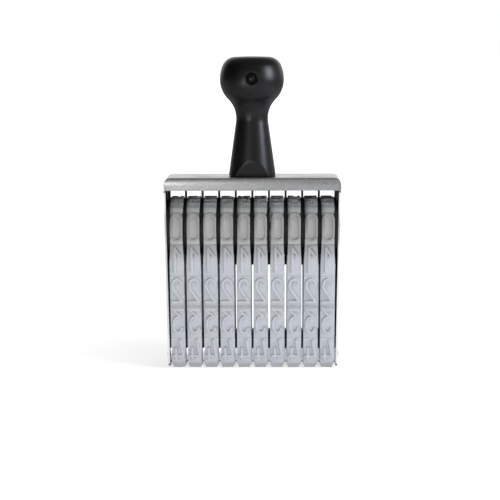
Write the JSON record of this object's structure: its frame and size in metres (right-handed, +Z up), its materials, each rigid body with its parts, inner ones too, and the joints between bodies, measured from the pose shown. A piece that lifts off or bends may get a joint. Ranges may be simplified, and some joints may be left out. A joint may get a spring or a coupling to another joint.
{
  "type": "hand numbering stamp",
  "caption": "Hand stamp that prints numbers from endless rubber digit bands, each on its own wheel, in a folded metal frame under a ball-top handle.",
  "frame": {"origin": "on the plane of the printing faces, midway along the row of bands and midway front to back", "axes": "+Z up through the handle, +X along the row of bands, -Y towards the user"},
  "size_m": [0.1014, 0.0356, 0.1782],
  "materials": {
    "handle_plastic": "moulded black plastic, satin",
    "insert_brass": "turned",
    "screw_steel": "zinc plated",
    "frame_sheet": "matt nickel-plated folded sheet with fine grain",
    "axle_steel": "bright drawn",
    "bar_aluminium": "extruded, plain",
    "black_moulding": "moulded black plastic",
    "wheel_plastic": "moulded black plastic, knurled rim",
    "band_rubber": "light grey moulded rubber, matt"
  },
  "bodies": {
    "root": {"handle": "handle_plastic", "handle_insert": "insert_brass", "handle_screw": "screw_steel", "handle_washer": "screw_steel", "frame": "frame_sheet", "axle": "axle_steel", "platen_bar": "bar_aluminium", "bar_rivets": "axle_steel", "guide_comb": "black_moulding", "comb_screws": "screw_steel", "band_01": "band_rubber", "band_02": "band_rubber", "band_03": "band_rubber", "band_04": "band_rubber", "band_05": "band_rubber", "band_06": "band_rubber", "band_07": "band_rubber", "band_08": "band_rubber", "band_09": "band_rubber", "band_10": "band_rubber", "separator_01": "black_moulding", "separator_02": "black_moulding", "separator_03": "black_moulding", "separator_04": "black_moulding", "separator_05": "black_moulding", "separator_06": "black_moulding", "separator_07": "black_moulding", "separator_08": "black_moulding", "separator_09": "black_moulding", "separator_10": "black_moulding", "separator_11": "black_moulding"},
    "wheel_01": {"wheel_01": "wheel_plastic"},
    "wheel_02": {"wheel_02": "wheel_plastic"},
    "wheel_03": {"wheel_03": "wheel_plastic"},
    "wheel_04": {"wheel_04": "wheel_plastic"},
    "wheel_05": {"wheel_05": "wheel_plastic"},
    "wheel_06": {"wheel_06": "wheel_plastic"},
    "wheel_07": {"wheel_07": "wheel_plastic"},
    "wheel_08": {"wheel_08": "wheel_plastic"},
    "wheel_09": {"wheel_09": "wheel_plastic"},
    "wheel_10": {"wheel_10": "wheel_plastic"}
  },
  "joints": [
    {"name": "wheel_01_turn", "type": "hinge", "parent": "root", "child": "wheel_01", "pos_m": [-0.04275, 0, 0.082], "axis": [1, 0, 0], "continuous": true},
    {"name": "wheel_02_turn", "type": "hinge", "parent": "root", "child": "wheel_02", "pos_m": [-0.03325, 0, 0.082], "axis": [1, 0, 0], "continuous": true},
    {"name": "wheel_03_turn", "type": "hinge", "parent": "root", "child": "wheel_03", "pos_m": [-0.02375, 0, 0.082], "axis": [1, 0, 0], "continuous": true},
    {"name": "wheel_04_turn", "type": "hinge", "parent": "root", "child": "wheel_04", "pos_m": [-0.01425, 0, 0.082], "axis": [1, 0, 0], "continuous": true},
    {"name": "wheel_05_turn", "type": "hinge", "parent": "root", "child": "wheel_05", "pos_m": [-0.00475, 0, 0.082], "axis": [1, 0, 0], "continuous": true},
    {"name": "wheel_06_turn", "type": "hinge", "parent": "root", "child": "wheel_06", "pos_m": [0.00475, 0, 0.082], "axis": [1, 0, 0], "continuous": true},
    {"name": "wheel_07_turn", "type": "hinge", "parent": "root", "child": "wheel_07", "pos_m": [0.01425, 0, 0.082], "axis": [1, 0, 0], "continuous": true},
    {"name": "wheel_08_turn", "type": "hinge", "parent": "root", "child": "wheel_08", "pos_m": [0.02375, 0, 0.082], "axis": [1, 0, 0], "continuous": true},
    {"name": "wheel_09_turn", "type": "hinge", "parent": "root", "child": "wheel_09", "pos_m": [0.03325, 0, 0.082], "axis": [1, 0, 0], "continuous": true},
    {"name": "wheel_10_turn", "type": "hinge", "parent": "root", "child": "wheel_10", "pos_m": [0.04275, 0, 0.082], "axis": [1, 0, 0], "continuous": true}
  ]
}
